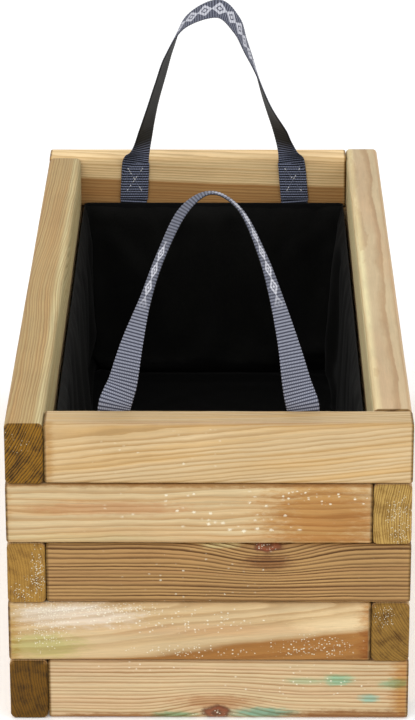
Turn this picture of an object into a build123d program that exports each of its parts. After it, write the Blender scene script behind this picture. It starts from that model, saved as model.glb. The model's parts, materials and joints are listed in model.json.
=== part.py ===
from build123d import *

import os
from math import cos, pi, sin

# Timber trough of stacked battens with a slatted floor, and a fabric liner bag that lifts out of it
# by two webbing handles.
#
# Frame: the origin is on the ground under the middle of the trough. +Z is up, +Y runs along the
# trough from its front end to its rear end, and +X is to the right seen from the front end.
# Millimetres throughout. Courses are numbered from the ground up.

# ---- driving dimensions -------------------------------------------------------------------------
WIDTH = 312.0  # outside, across X
LENGTH = 700.0  # outside, along Y
COURSES = 5
BATTEN_T = 30.0  # batten thickness, which is the wall thickness
BATTEN_H = 50.0  # batten height, which is one course
BATTEN_EDGE = 3.5  # eased long edges
BUTT_GAP = 1.0  # gap where one batten butts against the next at a corner

SCREW_R = 2.2
SCREW_HEAD_R = 4.2
SCREW_HEAD_H = 2.6
SCREW_LENGTH = 68.0  # the screws that tie a course to the one above
SCREW_SINK = 0.6  # a head lies this far under the surface
SCREW_TIP = 4.0
DRIVE_R = 1.7  # socket in the head
DRIVE_DEPTH = 1.8
HOLE_PLAY = 0.1  # round a screw
CORNER_STAGGER = 6.0  # screws of successive courses miss each other by this, each way
RUN_STAGGER = 8.0
BUTT_INSET = 18.0  # screw to the butted end of a batten

BEARER_W = 20.0
BEARER_H = 18.0
BEARER_LIFT = 2.0  # bearers clear the ground
BEARER_PLAY = 2.0  # at each end
BEARER_SCREW_LENGTH = 33.0
SLATS = 8
SLAT_W = 60.0
SLAT_T = 12.0
SLAT_PITCH = 80.0
SLAT_PLAY = 2.0  # to each long wall
SLAT_EDGE = 1.5
SLAT_SCREW_LENGTH = 24.0
SMALL_SCREW_R = 1.6
SMALL_HEAD_R = 3.2

FABRIC_T = 1.5
LINER_SIDE_PLAY = 1.0  # liner to the long walls
LINER_REST_PLAY = 0.3  # liner to the floor slats
LINER_BELOW_RIM = 46.0
HEM_H = 18.0
HEM_T = 1.2

WEB_W = 25.0  # webbing width
WEB_T = 1.6
WEB_WALL_PLAY = 0.3  # webbing to the end wall
HANDLE_SPREAD = 148.0  # between the middles of a handle's two feet
FRONT_RISE = 166.0  # from the hinge line to the crown
REAR_RISE = 160.0
TAIL_BELOW_HEM = 40.0  # webbing sewn to the outside of the liner under its mouth
FOLD_ABOVE_HEM = 5.0
FOLD_H = 37.0
HINGE_ABOVE_RIM = 1.5
FOOT_TO_HINGE = 2.0
FRONT_LEAN = 22.0  # degrees from upright, towards the middle of the trough
REAR_LEAN = 13.7
HIP = (0.41, 0.3)  # where a loop's legs bend, as shares of its spread and rise
FRONT_FULLNESS = 0.25  # breadth of the arch, as a share of the spread
REAR_FULLNESS = 0.24
TWIST_EASE = 2.2  # how soon the webbing turns on edge going up
LOOP_STEPS = 22  # flat facets along each half of a loop

BOX_STITCH_W = 14.0
BOX_STITCH_H = 26.0
ANCHOR_STITCH_H = 16.0
THREAD_W = 0.9
THREAD_T = 0.5

# ---- places worked out from them ----------------------------------------------------------------
HALF_W = WIDTH / 2
HALF_L = LENGTH / 2
RIM_Z = COURSES * BATTEN_H
INNER_X = HALF_W - BATTEN_T
INNER_Y = HALF_L - BATTEN_T
FLOOR_Z = BEARER_LIFT + BEARER_H + SLAT_T
BEARER_X = INNER_X - BEARER_W / 2
LINER_X = INNER_X - LINER_SIDE_PLAY
WEB_OUT_Y = INNER_Y - WEB_WALL_PLAY
LINER_Y = WEB_OUT_Y - WEB_T
LINER_BASE_Z = FLOOR_Z + LINER_REST_PLAY
LINER_TOP_Z = RIM_Z - LINER_BELOW_RIM
HINGE_Y = WEB_OUT_Y - WEB_T / 2
HINGE_Z = RIM_Z + HINGE_ABOVE_RIM


def block(x0, x1, y0, y1, z0, z1):
    """A box between two corners."""
    middle = Location(((x0 + x1) / 2, (y0 + y1) / 2, (z0 + z1) / 2))
    return middle * Box(abs(x1 - x0), abs(y1 - y0), abs(z1 - z0))


def save(name, solids):
    """Writes one node, which may be a group of separate solids."""
    shapes = list(solids) if isinstance(solids, (list, tuple)) else [solids]
    shape = shapes[0] if len(shapes) == 1 else Compound(children=shapes)
    export_step(shape, f"parts/{name}.step")


# ---- screws -------------------------------------------------------------------------------------
def screw(length, shank_r=SCREW_R, head_r=SCREW_HEAD_R):
    """A countersunk wood screw with its head at the origin, pointing up."""
    head = Pos(0, 0, SCREW_HEAD_H / 2) * Cone(head_r, shank_r, SCREW_HEAD_H)
    shank_h = length - SCREW_HEAD_H - SCREW_TIP
    shank = Pos(0, 0, SCREW_HEAD_H + shank_h / 2) * Cylinder(shank_r, shank_h)
    tip = Pos(0, 0, length - SCREW_TIP / 2) * Cone(shank_r, shank_r / 6, SCREW_TIP)
    drive = extrude(RegularPolygon(DRIVE_R * shank_r / SCREW_R, 6), DRIVE_DEPTH)
    return head + shank + tip - drive


def screw_hole(length, shank_r=SCREW_R, head_r=SCREW_HEAD_R):
    """The space a screw fills, with play round it, and the recess over its head."""
    recess = Pos(0, 0, -SCREW_SINK) * Cylinder(
        head_r + HOLE_PLAY, SCREW_SINK, align=(Align.CENTER, Align.CENTER, Align.MIN)
    )
    head = Pos(0, 0, SCREW_HEAD_H / 2) * Cone(head_r + HOLE_PLAY, shank_r + HOLE_PLAY, SCREW_HEAD_H)
    bore_h = length + HOLE_PLAY
    bore = Pos(0, 0, bore_h / 2) * Cylinder(shank_r + HOLE_PLAY, bore_h)
    return recess + head + bore


def course_screw_places(joint):
    """Where the screws that tie course `joint` to the next one stand, seen from above."""
    side = 1 if joint % 2 else -1
    corner = side * CORNER_STAGGER
    run = side * RUN_STAGGER
    mid_x, mid_y = HALF_W - BATTEN_T / 2, HALF_L - BATTEN_T / 2
    near_x = INNER_X - BUTT_GAP - BUTT_INSET
    near_y = INNER_Y - BUTT_GAP - BUTT_INSET
    corners = [(sx * mid_x + corner, sy * mid_y - corner) for sx in (-1, 1) for sy in (-1, 1)]
    ends = [(sx * near_x + run, sy * mid_y) for sx in (-1, 1) for sy in (-1, 1)]
    sides = [(sx * mid_x, sy * near_y + run) for sx in (-1, 1) for sy in (-1, 0, 1)]
    return corners + ends + sides


def course_screw_location(joint, x, y):
    return Location((x, y, (joint - 1) * BATTEN_H + SCREW_SINK))


def bearer_screw_places():
    """Heights are the bearer's middle; screws stand in every second gap between slats."""
    gaps = [SLAT_PITCH * (i - SLATS / 2) for i in range(1, SLATS, 2)]
    return [(side, y) for side in (-1, 1) for y in gaps]


def bearer_screw_location(side, y):
    inner_face = side * (INNER_X - BEARER_W + SCREW_SINK)
    return Location((inner_face, y, BEARER_LIFT + BEARER_H / 2), (0, 90 * side, 0))


def slat_screw_location(side, y):
    return Location((side * BEARER_X, y, FLOOR_Z - SCREW_SINK), (180, 0, 0))


# ---- the trough ---------------------------------------------------------------------------------
def board_plan(course, wall):
    """The outline of one board seen from above, (x0, x1, y0, y1).

    Each board runs through at one end and butts against its neighbour at the other, and the
    courses take turns at it, so that the ends interlock at every corner.
    """
    hand = 1 if course % 2 else -1  # odd courses show the left board's end at the front
    butt_x = INNER_X - BUTT_GAP
    butt_y = INNER_Y - BUTT_GAP
    if wall in ("front", "rear"):
        out = -1 if wall == "front" else 1
        x_through = -out * hand * HALF_W
        x_butt = out * hand * butt_x
        return (*sorted((x_through, x_butt)), *sorted((out * HALF_L, out * INNER_Y)))
    out = -1 if wall == "left" else 1
    y_through = out * hand * HALF_L
    y_butt = -out * hand * butt_y
    return (*sorted((out * HALF_W, out * INNER_X)), *sorted((y_through, y_butt)))


def board(course, wall):
    x0, x1, y0, y1 = board_plan(course, wall)
    z0 = (course - 1) * BATTEN_H
    shape = block(x0, x1, y0, y1, z0, z0 + BATTEN_H)
    along = Axis.X if wall in ("front", "rear") else Axis.Y
    shape = fillet(shape.edges().filter_by(along), BATTEN_EDGE)
    hole = screw_hole(SCREW_LENGTH)
    for joint in (course, course - 1):
        if 1 <= joint < COURSES:
            for x, y in course_screw_places(joint):
                if x0 < x < x1 and y0 < y < y1:
                    shape -= course_screw_location(joint, x, y) * hole
    if course == 1:
        hole = screw_hole(BEARER_SCREW_LENGTH, SMALL_SCREW_R, SMALL_HEAD_R)
        for side, y in bearer_screw_places():
            if x0 < side * (HALF_W - BATTEN_T / 2) < x1:
                shape -= bearer_screw_location(side, y) * hole
    return shape


def slat_middles():
    return [SLAT_PITCH * (i - (SLATS - 1) / 2) for i in range(SLATS)]


def bearer(side):
    top = BEARER_LIFT + BEARER_H
    end = INNER_Y - BEARER_PLAY
    shape = block(side * INNER_X, side * (INNER_X - BEARER_W), -end, end, BEARER_LIFT, top)
    hole = screw_hole(BEARER_SCREW_LENGTH, SMALL_SCREW_R, SMALL_HEAD_R)
    for place_side, y in bearer_screw_places():
        if place_side == side:
            shape -= bearer_screw_location(side, y) * hole
    hole = screw_hole(SLAT_SCREW_LENGTH, SMALL_SCREW_R, SMALL_HEAD_R)
    for y in slat_middles():
        shape -= slat_screw_location(side, y) * hole
    return shape


def slat(y):
    end = INNER_X - SLAT_PLAY
    shape = block(-end, end, y - SLAT_W / 2, y + SLAT_W / 2, FLOOR_Z - SLAT_T, FLOOR_Z)
    shape = fillet(shape.edges().filter_by(Axis.X), SLAT_EDGE)
    hole = screw_hole(SLAT_SCREW_LENGTH, SMALL_SCREW_R, SMALL_HEAD_R)
    for side in (-1, 1):
        shape -= slat_screw_location(side, y) * hole
    return shape


def make_trough():
    for course in range(1, COURSES + 1):
        for wall in ("front", "rear", "left", "right"):
            save(f"course_{course}_{wall}_board", board(course, wall))
    tie = screw(SCREW_LENGTH)
    for joint in range(1, COURSES):
        places = course_screw_places(joint)
        screws = [course_screw_location(joint, x, y) * tie for x, y in places]
        save(f"course_{joint}_tie_screws", screws)
    for side, name in ((-1, "left"), (1, "right")):
        save(f"floor_bearer_{name}", bearer(side))
    small = screw(BEARER_SCREW_LENGTH, SMALL_SCREW_R, SMALL_HEAD_R)
    save("bearer_screws", [bearer_screw_location(*place) * small for place in bearer_screw_places()])
    small = screw(SLAT_SCREW_LENGTH, SMALL_SCREW_R, SMALL_HEAD_R)
    spots = [(side, y) for side in (-1, 1) for y in slat_middles()]
    save("slat_screws", [slat_screw_location(*spot) * small for spot in spots])
    for number, y in enumerate(slat_middles(), start=1):
        save(f"floor_slat_{number}", slat(y))


# ---- the liner bag ------------------------------------------------------------------------------
def make_liner():
    """Five sewn panels and a turned hem, inside the trough and resting on its slats."""
    wall_z = LINER_BASE_Z + FABRIC_T
    in_x, in_y = LINER_X - FABRIC_T, LINER_Y - FABRIC_T
    base = block(-LINER_X, LINER_X, -LINER_Y, LINER_Y, LINER_BASE_Z, wall_z)
    save("liner_base_panel", base)
    for side, name in ((-1, "left"), (1, "right")):
        panel = block(side * in_x, side * LINER_X, -LINER_Y, LINER_Y, wall_z, LINER_TOP_Z)
        save(f"liner_{name}_panel", panel)
    for out, name in ((-1, "front"), (1, "rear")):
        panel = block(-in_x, in_x, out * in_y, out * LINER_Y, wall_z, LINER_TOP_Z)
        save(f"liner_{name}_panel", panel)
    hem_z = LINER_TOP_Z - HEM_H
    hem = block(-in_x, in_x, -in_y, in_y, hem_z, LINER_TOP_Z)
    mouth_x, mouth_y = in_x - HEM_T, in_y - HEM_T
    hem -= block(-mouth_x, mouth_x, -mouth_y, mouth_y, hem_z, LINER_TOP_Z)
    save("liner_top_hem", hem)


# ---- the handles --------------------------------------------------------------------------------
# A handle is drawn at the front end and turned half a turn about Z for the rear end.
def foot_pieces(sx):
    """One foot of the front handle: webbing against the wall, and its folded-back end."""
    x0, x1 = sorted((sx * HANDLE_SPREAD / 2 - WEB_W / 2, sx * HANDLE_SPREAD / 2 + WEB_W / 2))
    tail = block(x0, x1, -WEB_OUT_Y, -LINER_Y, LINER_TOP_Z - TAIL_BELOW_HEM, HINGE_Z - FOOT_TO_HINGE)
    fold_z = LINER_TOP_Z + FOLD_ABOVE_HEM
    fold = block(x0, x1, -LINER_Y, -LINER_Y + WEB_T, fold_z, fold_z + FOLD_H)
    return tail, fold


def cross_box_stitch(width, height, x, face_y, z):
    """Thread in the shape of a box with a cross in it, standing on a face that looks along +Y."""
    bar = Box(width, THREAD_T, THREAD_W)
    post = Box(THREAD_W, THREAD_T, height)
    shape = Pos(0, 0, height / 2) * bar + Pos(0, 0, -height / 2) * bar
    shape += Pos(width / 2, 0, 0) * post + Pos(-width / 2, 0, 0) * post
    diagonal = (width**2 + height**2) ** 0.5
    lean = Vector(width, 0, height).get_angle(Vector(0, 0, 1))
    for turn in (-lean, lean):
        shape += Location((0, 0, 0), (0, turn, 0)) * Box(THREAD_W, THREAD_T, diagonal)
    return Location((x, face_y + THREAD_T / 2, z)) * shape


def loop_curve(t, rise, fullness):
    """A point and a direction on the loop's half from the left foot to the crown, t from 0 to 1."""
    p0 = Vector(-HANDLE_SPREAD / 2, 0)
    p1 = Vector(-HANDLE_SPREAD * HIP[0], rise * HIP[1])
    p2 = Vector(-HANDLE_SPREAD * fullness, rise)
    p3 = Vector(0, rise)
    s = 1 - t
    point = p0 * s**3 + p1 * (3 * s**2 * t) + p2 * (3 * s * t**2) + p3 * t**3
    slope = (p1 - p0) * s**2 + (p2 - p1) * (2 * s * t) + (p3 - p2) * t**2
    return point, slope.normalized()


def loop_section(t, rise, fullness, mirror):
    """The four corners of the webbing across the loop. X is across, Y inwards, Z up the loop.

    At the foot the webbing's width lies across the handle, and at the crown it lies through it.
    """
    point, slope = loop_curve(t, rise, fullness)
    twist = pi / 2 * (1 - (1 - t) ** TWIST_EASE)
    start = min(1.0, 4 * t)  # the foot itself is square to the hinge
    across = Vector(1 - start + start * slope.Y, 0, -start * slope.X).normalized()
    width = across * cos(twist) + Vector(0, -1, 0) * sin(twist)
    along = Vector(slope.X, 0, slope.Y)
    through = along.cross(width).normalized()
    middle = Vector(point.X, 0, point.Y)
    corners = [
        middle + width * (a * WEB_W / 2) + through * (b * WEB_T / 2)
        for a, b in ((-1, -1), (1, -1), (1, 1), (-1, 1))
    ]
    if mirror:
        corners = [Vector(-c.X, c.Y, c.Z) for c in corners]
    return corners


def loop(rise, fullness):
    """The free webbing of a handle: a twisting band of flat facets, standing on the origin."""
    left = [loop_section(i / LOOP_STEPS, rise, fullness, False) for i in range(LOOP_STEPS + 1)]
    right = [loop_section(i / LOOP_STEPS, rise, fullness, True) for i in range(LOOP_STEPS)]
    rings = left + right[::-1]
    triangles = []
    for near, far in zip(rings, rings[1:]):
        for i in range(4):
            j = (i + 1) % 4
            triangles += [(near[i], near[j], far[j]), (near[i], far[j], far[i])]
    for ring in (rings[0], rings[-1]):
        triangles += [(ring[0], ring[1], ring[2]), (ring[0], ring[2], ring[3])]
    return Solid(Shell([Face(Wire.make_polygon(corners)) for corners in triangles]))


def make_handle(name, lean, rise, fullness, turn):
    """One handle. `turn` is 0 at the front end and 180 at the rear end."""
    place = Location((0, 0, 0), (0, 0, turn))
    band = Location((0, -HINGE_Y, HINGE_Z), (-lean, 0, 0)) * loop(rise, fullness)
    save(f"{name}_handle_loop", place * band)
    fold_stitch, anchor_stitch = [], []
    fold_mid_z = LINER_TOP_Z + FOLD_ABOVE_HEM + FOLD_H / 2
    anchor_z = LINER_TOP_Z - HEM_H - ANCHOR_STITCH_H / 2 - 2 * THREAD_W
    for sx in (-1, 1):
        side = "left" if sx * cos(turn * pi / 180) < 0 else "right"
        tail, fold = foot_pieces(sx)
        save(f"{name}_handle_{side}_tail", place * tail)
        save(f"{name}_handle_{side}_fold", place * fold)
        x = sx * HANDLE_SPREAD / 2
        on_fold = cross_box_stitch(BOX_STITCH_W, BOX_STITCH_H, x, -LINER_Y + WEB_T, fold_mid_z)
        on_panel = cross_box_stitch(BOX_STITCH_W, ANCHOR_STITCH_H, x, -LINER_Y + FABRIC_T, anchor_z)
        fold_stitch.append(place * on_fold)
        anchor_stitch.append(place * on_panel)
    save(f"{name}_fold_stitching", fold_stitch)
    save(f"{name}_anchor_stitching", anchor_stitch)


os.makedirs("parts", exist_ok=True)
make_trough()
make_liner()
make_handle("front", FRONT_LEAN, FRONT_RISE, FRONT_FULLNESS, 0)
make_handle("rear", REAR_LEAN, REAR_RISE, REAR_FULLNESS, 180)
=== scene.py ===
import json
import random
from math import atan2, ceil, cos, exp, floor, hypot, pi, radians, sin

import bpy
from mathutils import Matrix, Vector, noise


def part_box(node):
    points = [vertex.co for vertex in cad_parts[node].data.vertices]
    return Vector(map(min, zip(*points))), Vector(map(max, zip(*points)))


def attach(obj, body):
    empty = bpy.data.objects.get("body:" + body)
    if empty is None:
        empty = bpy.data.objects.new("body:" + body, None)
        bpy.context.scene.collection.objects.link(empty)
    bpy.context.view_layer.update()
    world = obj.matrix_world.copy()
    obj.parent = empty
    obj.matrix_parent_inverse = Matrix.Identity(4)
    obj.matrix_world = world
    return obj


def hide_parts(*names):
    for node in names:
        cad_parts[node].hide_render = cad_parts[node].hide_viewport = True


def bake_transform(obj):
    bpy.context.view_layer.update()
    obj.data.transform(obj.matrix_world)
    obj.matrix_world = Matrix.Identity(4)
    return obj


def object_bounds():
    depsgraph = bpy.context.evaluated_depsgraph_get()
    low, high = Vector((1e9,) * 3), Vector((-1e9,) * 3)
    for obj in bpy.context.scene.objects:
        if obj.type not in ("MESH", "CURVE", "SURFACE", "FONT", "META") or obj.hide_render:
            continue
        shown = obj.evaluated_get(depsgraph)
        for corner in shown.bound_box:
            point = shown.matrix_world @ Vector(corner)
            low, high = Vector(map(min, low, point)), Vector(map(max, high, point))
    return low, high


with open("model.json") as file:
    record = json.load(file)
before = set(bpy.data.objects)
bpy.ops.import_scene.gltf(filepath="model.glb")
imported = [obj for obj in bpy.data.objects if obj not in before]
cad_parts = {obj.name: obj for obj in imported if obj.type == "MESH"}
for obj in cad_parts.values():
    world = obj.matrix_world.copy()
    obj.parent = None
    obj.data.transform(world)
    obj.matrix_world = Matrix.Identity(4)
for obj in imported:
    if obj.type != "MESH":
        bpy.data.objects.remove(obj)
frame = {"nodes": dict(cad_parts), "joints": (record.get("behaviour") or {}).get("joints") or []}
cad_lo, cad_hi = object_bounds()
MM = 0.001


# ---- small helpers
def rgb(red, green, blue):
    """A colour given as 0 to 255 display values, as scene-linear."""
    def one(value):
        value /= 255
        return value / 12.92 if value <= 0.04045 else ((value + 0.055) / 1.055) ** 2.4
    return (one(red), one(green), one(blue), 1.0)


def mesh_object(name, points, faces, material, fields=None, flat_faces=()):
    """A smooth-shaded mesh object. fields are named vectors stored on its points."""
    mesh = bpy.data.meshes.new(name)
    mesh.from_pydata([tuple(p) for p in points], [], faces)
    for key, values in (fields or {}).items():
        field = mesh.attributes.new(key, "FLOAT_VECTOR", "POINT")
        field.data.foreach_set("vector", [c for v in values for c in v])
    is_smooth = [True] * len(mesh.polygons)
    for index in flat_faces:
        is_smooth[index] = False
    mesh.polygons.foreach_set("use_smooth", is_smooth)
    mesh.materials.append(material)
    made = bpy.data.objects.new(name, mesh)
    bpy.context.scene.collection.objects.link(made)
    return made


def tube_faces(rings, around, first=0):
    """The quads between neighbouring rings of points, around points to a ring."""
    faces = []
    for ring in range(rings - 1):
        a = first + ring * around
        b = a + around
        for i in range(around):
            j = (i + 1) % around
            faces.append((a + i, a + j, b + j, b + i))
    return faces


def bake_modifiers(piece):
    """Applies every modifier on a piece, so that only its mesh is left."""
    graph = bpy.context.evaluated_depsgraph_get()
    mesh = bpy.data.meshes.new_from_object(piece.evaluated_get(graph))
    piece.modifiers.clear()
    piece.data = mesh


def drop(piece):
    """Takes a helper object and its mesh out of the scene."""
    mesh = piece.data
    bpy.data.objects.remove(piece)
    bpy.data.meshes.remove(mesh)


def smooth(value):
    """0 below 0, 1 above 1, and an even curve between them."""
    t = min(max(value, 0), 1)
    return t * t * (3 - 2 * t)


def spline(stations, t):
    """A point on a smooth curve through the stations, t from 0 to 1."""
    last = len(stations) - 1
    at = min(max(t, 0), 1) * last
    i = min(floor(at), last - 1)
    f = at - i
    a, b, c, d = (stations[min(max(k, 0), last)] for k in (i - 1, i, i + 1, i + 2))
    return [
        0.5 * (2 * q + (r - p) * f + (2 * p - 5 * q + 4 * r - s) * f**2 + (3 * q - p - 3 * r + s) * f**3)
        for p, q, r, s in zip(a, b, c, d)
    ]


# ---- writing materials as arithmetic
class Val:
    """A number or colour inside a material, which can be added, multiplied and so on."""

    def __init__(self, shade, socket):
        self.shade = shade
        self.socket = socket

    def __add__(self, other):
        return self.shade.math("ADD", self, other)

    __radd__ = __add__

    def __sub__(self, other):
        return self.shade.math("SUBTRACT", self, other)

    def __rsub__(self, other):
        return self.shade.math("SUBTRACT", other, self)

    def __mul__(self, other):
        return self.shade.math("MULTIPLY", self, other)

    def __truediv__(self, other):
        return self.shade.math("DIVIDE", self, other)


class Shade:
    """A material being made, on one Principled shader."""

    def __init__(self, name, **settings):
        self.material = bpy.data.materials.new(name)
        self.material.use_nodes = True
        self.tree = self.material.node_tree
        self.shader = self.tree.nodes["Principled BSDF"]
        for key, value in settings.items():
            self.shader.inputs[key.replace("_", " ")].default_value = value

    def feed(self, socket, value):
        if isinstance(value, Val):
            self.tree.links.new(value.socket, socket)
        else:
            socket.default_value = value

    def node(self, kind, *values, **settings):
        made = self.tree.nodes.new(kind)
        for key, value in settings.items():
            setattr(made, key, value)
        for socket, value in zip(made.inputs, values):
            if value is not None:
                self.feed(socket, value)
        return made

    def math(self, operation, *values):
        return Val(self, self.node("ShaderNodeMath", *values, operation=operation).outputs[0])

    def field(self, name):
        return Val(self, self.node("ShaderNodeAttribute", attribute_name=name).outputs["Vector"])

    def place(self):
        return Val(self, self.node("ShaderNodeTexCoord").outputs["Object"])

    def split(self, vector):
        made = self.node("ShaderNodeSeparateXYZ", vector)
        return [Val(self, made.outputs[i]) for i in range(3)]

    def join(self, x, y, z):
        return Val(self, self.node("ShaderNodeCombineXYZ", x, y, z).outputs[0])

    def scaled(self, vector, by):
        made = self.node("ShaderNodeVectorMath", vector, by, operation="MULTIPLY")
        return Val(self, made.outputs[0])

    def length(self, vector):
        return Val(self, self.node("ShaderNodeVectorMath", vector, operation="LENGTH").outputs["Value"])

    def noise(self, vector, scale=1.0, detail=2.0, rough=0.5, w=0.0):
        made = self.node("ShaderNodeTexNoise", noise_dimensions="4D")
        self.feed(made.inputs["Vector"], vector)
        for key, value in (("W", w), ("Scale", scale), ("Detail", detail), ("Roughness", rough)):
            made.inputs[key].default_value = value
        return Val(self, made.outputs[0])

    def cells(self, vector, scale, scatter):
        """Distance to the nearest of scattered points, and a random number for that point."""
        made = self.node("ShaderNodeTexVoronoi")
        self.feed(made.inputs["Vector"], vector)
        made.inputs["Scale"].default_value = scale
        made.inputs["Randomness"].default_value = scatter
        pick = self.split(Val(self, made.outputs["Color"]))[0]
        return Val(self, made.outputs["Distance"]), pick

    def step(self, value, low, high):
        """0 below low, 1 above high, and smooth between them. low may be the greater."""
        made = self.node("ShaderNodeMapRange", value, low, high, interpolation_type="SMOOTHSTEP")
        return Val(self, made.outputs[0])

    def mix(self, factor, a, b, blend="MIX"):
        made = self.node("ShaderNodeMix", data_type="RGBA", blend_type=blend)
        for index, value in ((0, factor), (6, a), (7, b)):
            self.feed(made.inputs[index], value)
        return Val(self, made.outputs[2])

    def bump(self, height, distance, strength):
        made = self.node("ShaderNodeBump")
        made.inputs["Strength"].default_value = strength
        made.inputs["Distance"].default_value = distance
        self.feed(made.inputs["Height"], height)
        return Val(self, made.outputs[0])

    def done(self, colour, rough, normal=None):
        self.feed(self.shader.inputs["Base Color"], colour)
        self.feed(self.shader.inputs["Roughness"], rough)
        if normal:
            self.feed(self.shader.inputs["Normal"], normal)
        return self.material


# ---- wood
# Every batten carries three fields. "place" is along the batten, out through its wall face, and
# up, in millimetres from its middle. "grain" is the same seen from the tree's pith, so that its
# distance from zero across the grain is the distance from the middle of the tree. "mark" holds 1
# on a long edge, 1 on an end face, and 0.
# A look's rows: knots (along, out, up, size, push on the rings, reach), stains and specks (along,
# or across for end_specks, up, reach along, reach up, tint or size, strength), and heartwood
# (radius, tint, strength).
WOOD = dict(
    pith=(-60, 10), tilt=(0, 0), ring=3.2, warp=2.5, contrast=0.75,
    early=(208, 178, 130), late=(170, 124, 72), end=(150, 116, 62), end_late=(92, 62, 26),
    blush=(216, 172, 128), blushing=0.6, knots=(), stains=(), specks=(), end_specks=(),
    heartwood=None, end_contrast=0.75,
    seed=0.0, streak=0.16, face=1, end_way=1, tone=0.86,
)


def blob(shade, place, mask, across, u, q, reach_u, reach, ragged, seed):
    """1 in the middle of a patch on one face of a batten, falling to 0 at its ragged border."""
    _, _, z = shade.split(place)
    away = shade.length(shade.join((across - u) / reach_u, (z - q) / reach, 0.0))
    rough = shade.noise(shade.scaled(place, (0.1, 0.35, 0.35)), 1.0, 6.0, 0.75, seed)
    return shade.step(away + (rough - 0.5) * (2 * ragged), 1.0, 0.3) * mask


def ratio(tint, base):
    """What a base colour is multiplied by to give a tint."""
    return tuple(a / b for a, b in zip(rgb(*tint)[:3], rgb(*base))) + (1.0,)


def ring_distance(s, k, place):
    """Along the grain, out from the pith, and the distance from the pith, unevenly bent."""
    seed = k["seed"]
    along, deep, high = s.split(s.field("grain"))
    slow, quick = (0.006, 0.03, 0.03), (0.03, 0.1, 0.1)
    for pace, rough, much, a, b in ((slow, 0.5, 2 * k["warp"], 0, 7), (quick, 0.6, 1.6, 13, 17)):
        turn = s.scaled(place, pace)
        deep = deep + (s.noise(turn, 1.0, 3.0, rough, seed + a) - 0.5) * much
        high = high + (s.noise(turn, 1.0, 3.0, rough, seed + b) - 0.5) * much
    return along, deep, s.length(s.join(deep, high, 0.0))


def push_round_knots(s, k, place, radius):
    """The ring distance bulging round each knot, where the knots are, and the rings inside them."""
    x, y, z = s.split(place)
    heart, ripple = 0.0, 0.0
    for u, p, q, size, push, reach in k["knots"]:
        away = s.length(s.join((x - u) * 0.62, (y - p) * 0.5, z - q))
        bulge = s.math("POWER", 2.718, away * away * (-1.0 / reach**2))
        radius = radius + bulge * push
        uneven = s.noise(s.scaled(place, (0.15, 0.15, 0.15)), 1.0, 3.0, 0.6, k["seed"] + 3)
        wobble = (uneven - 0.5) * (size * 0.8)
        core = s.step(away + wobble, size, size * 0.62)
        ripple = s.math("SINE", (away + wobble) * (10.0 / size)) * 0.5 + 0.5
        heart = core if heart == 0.0 else s.math("MAXIMUM", heart, core)
    return radius, heart, ripple


def late_wood(s, k, place, radius):
    """Rings counted out from the pith, and the dark late wood that ends each one."""
    seed = k["seed"]
    phase = radius / k["ring"]
    phase = phase + (s.noise(s.join(phase, 0.0, 0.0), 0.45, 1.0, 0.5, seed + 11) - 0.5) * 1.5
    part = s.math("FRACT", phase)
    each = s.noise(s.join(s.math("FLOOR", phase), 0.0, 0.0), 0.83, 0.0, 0.5, seed + 5)
    late = s.step(part, 0.25, 0.86) * s.step(part, 1.0, 0.9)
    late = late * (each * 1.1 + 0.35)
    fade = s.noise(s.scaled(place, (0.012, 0.05, 0.05)), 1.0, 2.0, 0.5, seed + 9)
    return phase, late * (fade * 0.9 + 0.5)


def end_grain(s, k, place, late):
    """The colour of a sawn end, and its pores."""
    pores = s.noise(s.scaled(place, (0.0, 1.5, 1.5)), 1.0, 3.0, 0.8, k["seed"] + 16)
    blotch = s.noise(s.scaled(place, (0.0, 0.09, 0.09)), 1.0, 3.0, 0.6, k["seed"] + 18)
    dark = late * k["end_contrast"] + s.step(pores, 0.4, 0.75) * 0.45 + s.step(blotch, 0.4, 0.75) * 0.6
    return s.mix(s.math("MINIMUM", dark, 1.0), rgb(*k["end"]), rgb(*k["end_late"])), pores


def stained(s, k, place, colour, mask, across):
    """The colour with a look's stains laid over its wall face."""
    for index, (u, q, reach_u, reach, tint, much) in enumerate(k["stains"]):
        spot = blob(s, place, mask, across, u, q, reach_u, reach, 0.75, k["seed"] + 20 + index)
        colour = s.mix(spot * much, colour, ratio(tint, k["early"]), "MULTIPLY")
    return colour


def pale_specks(s, k, place, rows):
    """1 on each pale fleck. rows are a look's, after their face's mask, direction and squeeze."""
    glint = 0.0
    for index, (mask, across, squeeze, u, q, reach_u, reach, size, much) in enumerate(rows):
        crumple = (s.noise(place, 1.3, 2.0, 0.6, k["seed"] + 40) - 0.5) * 0.6
        gap, pick = s.cells(s.scaled(place, squeeze), 1.0 / size, 1.0)
        here = blob(s, place, mask, across, u, q, reach_u, reach, 0.9, k["seed"] + 30 + index)
        dot = s.step(gap + crumple, 0.46, 0.12) * s.step(pick + here * much, 0.98, 1.1)
        glint = dot if glint == 0.0 else s.math("MAXIMUM", glint, dot)
    return glint


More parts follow.
